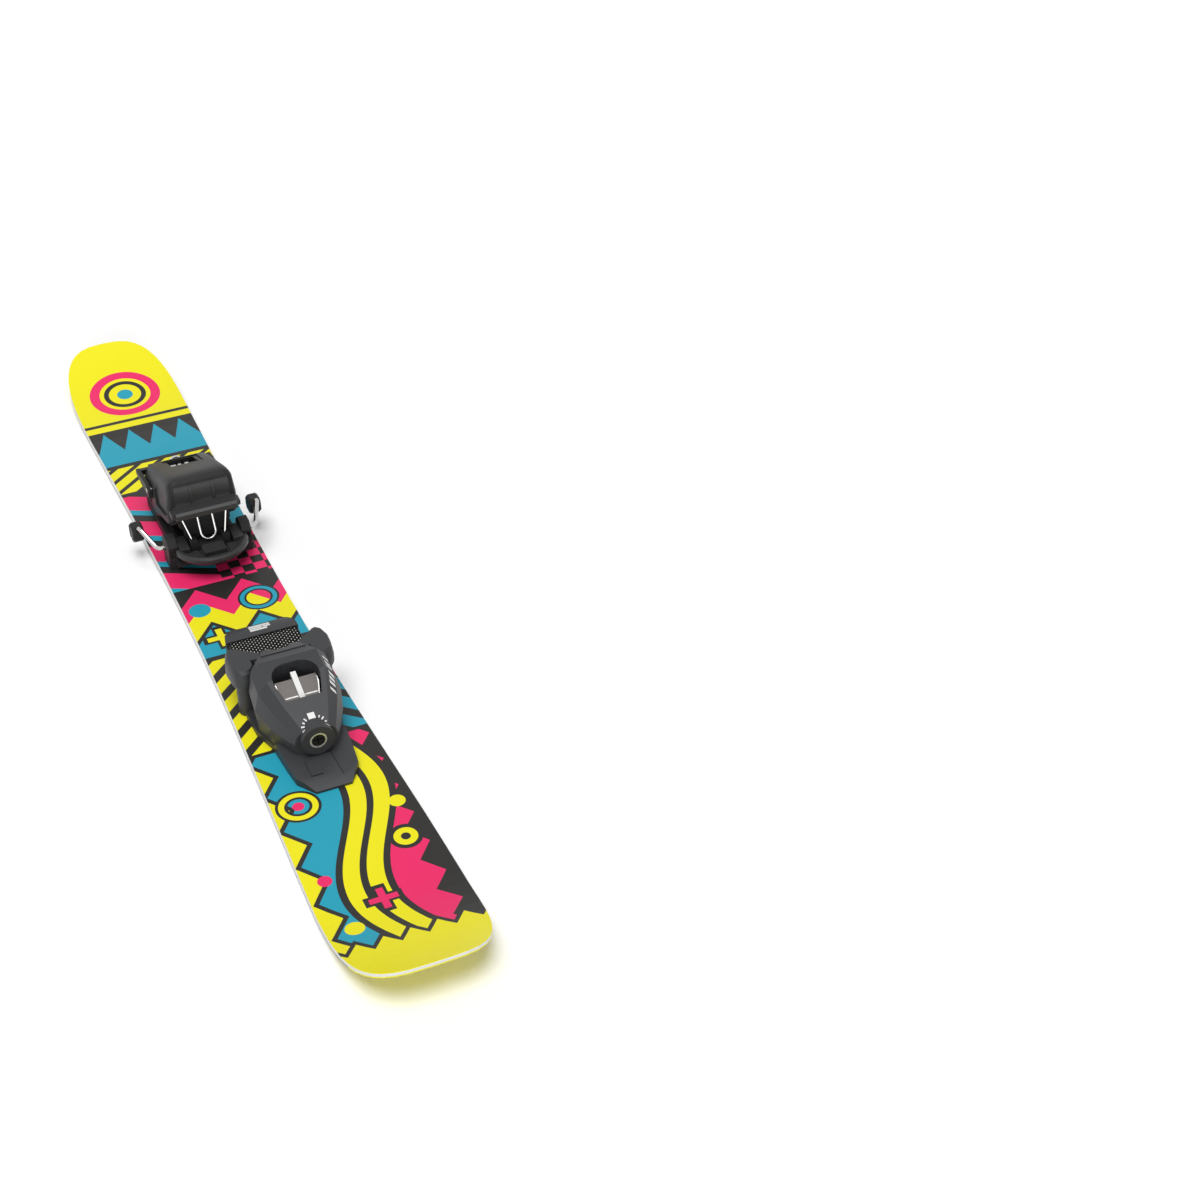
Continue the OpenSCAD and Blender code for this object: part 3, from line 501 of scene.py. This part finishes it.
def front_inks(sheet):
    zone = sheet.between(*FRONT_X)
    turn = (sheet.x - FRONT_X[0]) * (2 * math.pi / RIBBON_WAVE)
    ribbon = sheet.y - RIBBON_MIDDLE - RIBBON_SWING * turn.sine()
    right_saw = zigzag(sheet.x, period=44, height=17)
    return [
        (zone & (ribbon < 0), TEAL),
        (zone & (ribbon > 0), PINK),
        (zone & (sheet.y > 50 - zigzag(sheet.x, period=36, height=15)), INK),
        (zone & (sheet.y < right_saw - 54), INK),
        (zone & (sheet.y < right_saw - 59), YELLOW),
        (zone & (abs(ribbon) < 23), INK),
        (zone & (abs(ribbon) < 17), YELLOW),
        (zone & (abs(ribbon) < 3), INK),
        (sheet.ring(*FRONT_RING, radius=14, width=10), INK),
        (sheet.ring(*FRONT_RING, radius=14, width=5), YELLOW),
        (sheet.disc(*FRONT_RING, radius=5), PINK),
        (sheet.plus(*FRONT_CROSS, arm=16, width=11), INK),
        (sheet.plus(*FRONT_CROSS, arm=12, width=6), PINK),
        (sheet.disc(*FRONT_DISC, radius=14), INK),
        (sheet.disc(*FRONT_DISC, radius=10), YELLOW),
        (sheet.disc(*FRONT_DISC, radius=4), INK),
        (sheet.disc(288, 42, radius=7), YELLOW),
        (sheet.disc(412, -38, radius=8), YELLOW),
        (sheet.disc(352, -42, radius=6), PINK),
    ]


def tip_inks(sheet):
    saw = zigzag(sheet.y, period=22, height=14)
    return [
        (sheet.x > FRONT_X[1] - OUTLINE - saw, INK),
        (sheet.x > FRONT_X[1] - saw, YELLOW),
    ]


print("zones drawn: front, tip")

# %% [markdown]
# The zones now go over the yellow sheet in their order. The sheet is a satin plastic, so that its
# roughness varies a little and a very light bump breaks up the reflections, as on a surface pressed in a
# mould.
# %% Print the top sheet
SHEET_BUMP_DEPTH = 0.3 * MM


def printed_sheet():
    finish = Finish("printed_sheet", YELLOW, roughness=0.36, specular=0.22)
    sheet = Sheet(finish)
    ink = opaque(YELLOW)
    count = 0
    for zone_inks in (tail_inks, heel_inks, middle_inks, toe_inks, front_inks, tip_inks):
        for mask, color in zone_inks(sheet):
            ink = mask.over(ink, opaque(color))
            count += 1
    finish.set("Base Color", ink)
    finish.set("Roughness", 0.32 + 0.10 * finish.noise(scale=40.0))
    finish.bump(finish.noise(scale=260.0, detail=2.0), strength=0.03, distance=SHEET_BUMP_DEPTH)
    print("print layers:", count)
    return finish.material


top_print = printed_sheet()

# %% [markdown]
# The sole pad that lies between the toe wings is a low-friction strip, black with rows of pale dots. The
# dots could be small solids, but there are hundreds of them. Each is a short distance from the middle of
# its cell instead, and every other row is moved by half a cell, as in a woven mesh. Only the pad's upper
# side is dotted.
# %% Dot the sole pad
PAD_BLACK = (0.003, 0.003, 0.003)
DOT_PALE = (0.74, 0.72, 0.66)
CELL_ACROSS, CELL_ALONG = 2.5 * MM, 4.2 * MM
DOT_RADIUS = 0.42 * MM
DOT_DRAWN_OUT = 0.6
DOT_DEPTH = 0.4 * MM
PAD_TOP_BAND = 1.1 * MM


def dotted_pad(node):
    finish = Finish("dotted_pad", PAD_BLACK, roughness=0.5, specular=0.08)
    y = finish.axis("Y")
    row = ((y - y % CELL_ACROSS) / CELL_ACROSS) % 2.0
    x = finish.axis("X") + row * (CELL_ALONG / 2)
    dx = (x % CELL_ALONG - CELL_ALONG / 2) * DOT_DRAWN_OUT
    dy = y % CELL_ACROSS - CELL_ACROSS / 2
    top = finish.axis("Z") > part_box(node)[1][2] - PAD_TOP_BAND
    dots = (dx ** 2.0 + dy ** 2.0 < DOT_RADIUS ** 2) & top
    finish.set("Base Color", dots.over(opaque(PAD_BLACK), opaque(DOT_PALE)))
    finish.set("Roughness", 0.55 - 0.2 * dots)
    finish.bump(dots, strength=0.3, distance=DOT_DEPTH)
    return finish.material


sole_dots = dotted_pad("afd_slider")
print("pad finish:", sole_dots.name)

# %% [markdown]
# A moulded edge is never knife sharp, and its thin highlight is what makes it look real. The edges could
# be rounded in CAD, but that would add many small faces to solids whose job is to fit and move. Modifiers
# do it here: a weld closes the seams between CAD faces, a small bevel rounds the edges, and weighted
# normals keep the flats flat beside them.
# %% Soften edges with modifiers
WELD_REACH = 0.01 * MM
BEVEL_STEPS = 3


def soften(piece, width_mm, degrees):
    """Welds split corners and rounds the edges sharper than this angle by this much."""
    weld = piece.modifiers.new("weld", "WELD")
    weld.merge_threshold = WELD_REACH
    bevel = piece.modifiers.new("round", "BEVEL")
    bevel.width = width_mm * MM
    bevel.segments = BEVEL_STEPS
    bevel.limit_method = "ANGLE"
    bevel.angle_limit = math.radians(degrees)
    bevel.harden_normals = True
    bevel.miter_outer = "MITER_ARC"
    flat = piece.modifiers.new("keep_flats", "WEIGHTED_NORMAL")
    flat.keep_sharp = True
    flat.weight = 100


def smooth(piece, degrees):
    """Smooth shading that keeps edges sharper than this angle."""
    piece.data.shade_smooth()
    piece.data.set_sharp_from_angle(angle=math.radians(degrees))


print("edges can be softened")

# %% [markdown]
# Every CAD node keeps its shape and takes a finish. Its record says which material slot it has, and a
# table turns slots into finishes, so that a new node is dressed without a new line. A few nodes differ
# from their slot: the ringed screw, and the two satin pieces that the boot presses on.
# %% Give every CAD node its finish
FINISH_OF_SLOT = {
    "base": base_plastic, "edge": edge_steel, "laminate": glass_laminate, "core": wood,
    "sidewall": sidewall_plastic, "topsheet": top_print, "grey_plastic": grey_plastic,
    "black_plastic": black_plastic, "steel": steel, "spring_steel": steel, "chrome": chrome,
    "grey_metal": carrier_metal, "white_plastic": white_plastic, "slider": sole_dots,
}
FINISH_OF_NODE = {"toe_release_screw": toe_dial, "heel_cup": satin_black, "brake_pedal": satin_black}
ROUND_OF_SLOT = {
    "grey_plastic": 0.9, "black_plastic": 0.9, "steel": 0.25, "white_plastic": 0.3, "grey_metal": 0.4,
}
ROUND_OF_NODE = {"heel_cup": 0.3}
SHARP_ANGLE = 30
SHARP_ANGLE_OF_NODE = {"toe_housing": 11}
BEVEL_ANGLE = 28

for entry in frame["record"]["subparts"]:
    name, slot = entry["node"], entry["material_slot"]
    piece = nodes[name]
    piece.data.materials.clear()
    piece.data.materials.append(FINISH_OF_NODE.get(name, FINISH_OF_SLOT[slot]))
    sharp_angle = SHARP_ANGLE_OF_NODE.get(name, SHARP_ANGLE)
    smooth(piece, sharp_angle)
    if slot in ROUND_OF_SLOT:
        soften(piece, ROUND_OF_NODE.get(name, ROUND_OF_SLOT[slot]), min(sharp_angle, BEVEL_ANGLE))

# %% [markdown]
# Small marks lie on the housings. They could be masks in the material, but thin plates keep a crisp edge
# and a finish of their own. A ray cast straight down finds the surface under each corner, so that a plate
# follows the slope it sits on. Each mesh rides on the body that carries it.
# %% Lay plates on a surface
MARK_DEPTH = 0.4
RAY_START = 0.5
DOWN = Vector((0, 0, -1))


def under(node, x, y):
    """Height of a CAD node's upper surface at this x and y, in metres."""
    hit, place, _, _ = nodes[node].ray_cast(Vector((x, y, RAY_START)), DOWN)
    return place.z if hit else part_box(node)[1][2]


def add_plate(made, node, outline, rise):
    """A thin plate with this outline in x and y, in millimetres, this much above the node."""
    tops = [Vector((x * MM, y * MM, under(node, x * MM, y * MM) + rise * MM)) for x, y in outline]
    top = [made.verts.new(corner) for corner in tops]
    low = [made.verts.new(corner + DOWN * MARK_DEPTH * MM) for corner in tops]
    made.faces.new(top)
    made.faces.new(list(reversed(low)))
    for i in range(len(top)):
        made.faces.new((top[i - 1], low[i - 1], low[i], top[i]))


def add_marks(name, node, body, outlines, finish, rise):
    """One mesh of plates that lie on the node and ride on the body."""
    made = bmesh.new()
    for outline in outlines:
        add_plate(made, node, outline, rise)
    bmesh.ops.recalc_face_normals(made, faces=made.faces)
    mesh = bpy.data.meshes.new(name)
    made.to_mesh(mesh)
    mesh.materials.append(finish)
    piece = put_in_scene(bpy.data.objects.new(name, mesh))
    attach(piece, body)
    print(name, "plates:", len(outlines))


def bar(x0, x1, y0, y1):
    """Corners of a bar between these places along and across the ski."""
    return [(x0, y0), (x1, y0), (x1, y1), (x0, y1)]


def rear_of(node):
    """Where a CAD node begins along the ski, in millimetres."""
    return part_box(node)[0][0] / MM


def front_of(node):
    """Where a CAD node ends along the ski, in millimetres."""
    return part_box(node)[1][0] / MM


bpy.context.view_layer.update()
print("toe housing from", round(rear_of("toe_housing"), 1), "to", round(front_of("toe_housing"), 1), "mm")

# %% [markdown]
# A fan of white bars stands round the toe's release screw, long and short in turn, with a block in its
# middle. A loop over the angles places them: each bar points away from a centre just behind the tip of
# the housing's nose.
# %% Lay the toe's scale
SCALE_X = front_of("toe_housing") - 5
SCALE_RADIUS = 10.5
SCALE_ANGLES = (-88, -70, -52, -35, 35, 52, 70, 88)
SHORT_BAR, LONG_BAR, SCALE_BAR_WIDTH = 2.0, 3.0, 1.0
BLOCK_LENGTH, BLOCK_WIDTH = 5.6, 6.0
SCALE_RISE = 0.3


def turned_bar(degrees, length, width):
    """Corners of a bar that points away from the scale's centre at this angle from the rear."""
    a = math.radians(degrees)
    out = Vector((-math.cos(a), math.sin(a)))
    side = Vector((-out.y, out.x))
    middle = Vector((SCALE_X, 0)) + out * SCALE_RADIUS
    steps = ((-1, -1), (1, -1), (1, 1), (-1, 1))
    return [tuple(middle + out * (i * length / 2) + side * (j * width / 2)) for i, j in steps]


scale_bars = [turned_bar(a, LONG_BAR if i % 2 else SHORT_BAR, SCALE_BAR_WIDTH)
              for i, a in enumerate(SCALE_ANGLES)]
scale_bars.append(turned_bar(0, BLOCK_LENGTH, BLOCK_WIDTH))
add_marks("toe_scale", "toe_housing", "ski", scale_bars, white_plastic, SCALE_RISE)

# %% [markdown]
# White bars in three rows lie on the block behind the sole pad. The block's rear is made of two flat
# slopes, and a plate across the crease between them would sink into it, so that each row stays on one
# slope.
# %% Lay the pad's bars
PAD_REAR = rear_of("afd_block")
PAD_BARS_RIGHT, PAD_BARS_LEFT = -8.5, 10.5
PAD_BARS_RISE = 0.12

pad_bars = [
    bar(PAD_REAR + 8.3, PAD_REAR + 11.3, PAD_BARS_RIGHT, PAD_BARS_LEFT),
    bar(PAD_REAR + 11.8, PAD_REAR + 14.8, PAD_BARS_RIGHT, 3),
    bar(PAD_REAR + 11.8, PAD_REAR + 14.8, 3.8, PAD_BARS_LEFT),
    bar(PAD_REAR + 15.3, PAD_REAR + 17.6, PAD_BARS_RIGHT, 7),
]
add_marks("pad_bars", "afd_block", "ski", pad_bars, white_plastic, PAD_BARS_RISE)

# %% [markdown]
# In the window of the toe's roof, bright steel strips frame the metal carrier as painted highlight: they
# stand in for the light that the carrier's edges catch. There is one along each side, which draws in
# towards the front, and two short ones across, either side of the white pointer. They ride on the
# setting, because the carrier slides with it.
# %% Lay the window's highlight strips
CARRIER_REAR = rear_of("toe_carriage")
STRIP_REAR = CARRIER_REAR + 2.5
STRIP_BEND = CARRIER_REAR + 8
STRIP_FRONT = front_of("toe_carriage") - 0.4
STRIP_WIDTH = 1.1
STRIP_RISE = 0.35
CROSS_STRIP_X = CARRIER_REAR + 16.4
CROSS_STRIP_Y = (2.8, 14.2)


def side_highlight_strip(side):
    """A strip along the left side of the window, or along the right one when side is -1."""
    inner = [(STRIP_REAR, 17.3), (STRIP_BEND, 17.3), (STRIP_FRONT, 13.7)]
    outer = [(x, y + STRIP_WIDTH) for x, y in reversed(inner)]
    return [(x, side * y) for x, y in inner + outer]


def cross_highlight_strip(side):
    near, far = CROSS_STRIP_Y
    return bar(CROSS_STRIP_X, CROSS_STRIP_X + STRIP_WIDTH, *sorted((side * near, side * far)))


# painted highlight: bright steel strips along the carrier's edges stand in for the light those edges
# catch
edge_highlight_strips = [side_highlight_strip(1), side_highlight_strip(-1), cross_highlight_strip(-1), cross_highlight_strip(1)]
add_marks("window_edge_highlights", "toe_carriage", "toe_setting", edge_highlight_strips, steel, STRIP_RISE)

# %% [markdown]
# Leaning white bars run along the left flank of the toe housing. The flank is straight at the rear and
# draws in towards the nose, and the row follows it, so that every bar stays whole on its facet.
# %% Lay the flank's bars
HOUSING_REAR = rear_of("toe_housing")
FLANK_BARS_FROM_REAR = (33, 39, 43, 50, 54, 58, 64)
FLANK_Y = 28.4
FLANK_BEND_X, FLANK_TAPER = HOUSING_REAR + 49, 0.27
FLANK_BAR_WIDTH, FLANK_BAR_LENGTH, FLANK_BAR_LEAN = 2.4, 3.8, 2.2
FLANK_RISE = 0.35


def slanted_bar(x):
    """A leaning bar on the flank, which draws in towards the front."""
    low = FLANK_Y - FLANK_TAPER * max(0, x - FLANK_BEND_X)
    high = low + FLANK_BAR_LENGTH
    leaning = x + FLANK_BAR_LEAN
    return [(x, low), (x + FLANK_BAR_WIDTH, low), (leaning + FLANK_BAR_WIDTH, high), (leaning, high)]


flank_bars = [slanted_bar(HOUSING_REAR + step) for step in FLANK_BARS_FROM_REAR]
add_marks("flank_bars", "toe_housing", "ski", flank_bars, white_plastic, FLANK_RISE)

# %% [markdown]
# Three white bars of unlike width lie on the heel's setting indicator and show through the window in its
# roof. They ride on the setting, so that they move along the window as the release screw is turned.
# %% Lay the setting's bars
INDICATOR_REAR = rear_of("heel_indicator")
SETTING_BARS_FROM, SETTING_BARS_TO = INDICATOR_REAR + 1, INDICATOR_REAR + 7
SETTING_BARS_Y = ((-10.5, -4), (-2, 1), (4.5, 8))
SETTING_RISE = 0.3

setting_bars = [bar(SETTING_BARS_FROM, SETTING_BARS_TO, right, left) for right, left in SETTING_BARS_Y]
add_marks("setting_bars", "heel_indicator", "heel_setting", setting_bars, white_plastic,
          SETTING_RISE)

# %% [markdown]
# The studio is a pale floor under a white sky. The floor lies a hair below the base, because two faces in
# one plane show through each other.
# %% Lay the floor
FLOOR_PALE = (0.96, 0.96, 0.96)
FLOOR_HALF = 6.0
FLOOR_DROP = 0.6 * MM


def studio_floor():
    finish = Finish("studio_floor", FLOOR_PALE, roughness=0.75)
    finish.set("Roughness", 0.7 + 0.1 * finish.noise(scale=3.0))
    corners = [(i * FLOOR_HALF, j * FLOOR_HALF, 0) for i, j in ((-1, -1), (1, -1), (1, 1), (-1, 1))]
    mesh = bpy.data.meshes.new("floor")
    mesh.from_pydata(corners, [], [(0, 1, 2, 3)])
    mesh.materials.append(finish.material)
    floor = put_in_scene(bpy.data.objects.new("floor", mesh))
    floor.location.z = -FLOOR_DROP


studio_floor()
print("floor", 2 * FLOOR_HALF, "m wide")

# %% [markdown]
# One wide sun stands high and throws the soft shadow under the tip, and a low one lights the fronts as a
# reflector board would. Area lights could do the same, but a sun's light doesn't fall off along the ski.
# Camera rays and reflections see the sky as pure white, while the light that falls from it on the ski
# stays low.
# %% Light the studio
SKY_LIGHT = 0.24


def white_sky(light_level):
    world = bpy.data.worlds.new("sky")
    world.use_nodes = True
    tree = world.node_tree
    rays = tree.nodes.new("ShaderNodeLightPath")
    seen = Socket(tree, rays.outputs["Is Camera Ray"]) | Socket(tree, rays.outputs["Is Glossy Ray"])
    seen = seen | Socket(tree, rays.outputs["Is Transmission Ray"])
    strength = light_level + (1.0 - light_level) * seen
    sky = tree.nodes["Background"]
    sky.inputs["Color"].default_value = (1, 1, 1, 1)
    tree.links.new(strength.link, sky.inputs["Strength"])
    bpy.context.scene.world = world


def soft_sun(name, towards, strength, degrees):
    """A sun that stands in this direction and is this wide in the sky."""
    sun = put_in_scene(bpy.data.objects.new(name, bpy.data.lights.new(name, "SUN")))
    sun.data.energy = strength
    sun.data.angle = math.radians(degrees)
    sun.rotation_euler = Vector(towards).to_track_quat("Z", "Y").to_euler()
    print(name, "strength", strength, "width", degrees)


white_sky(SKY_LIGHT)
soft_sun("key_sun", towards=(0.3, -0.3, 1.7), strength=2.45, degrees=42)
soft_sun("front_fill", towards=(1.0, -0.25, 0.15), strength=1.3, degrees=40)
bpy.context.scene.view_settings.view_transform = "Standard"
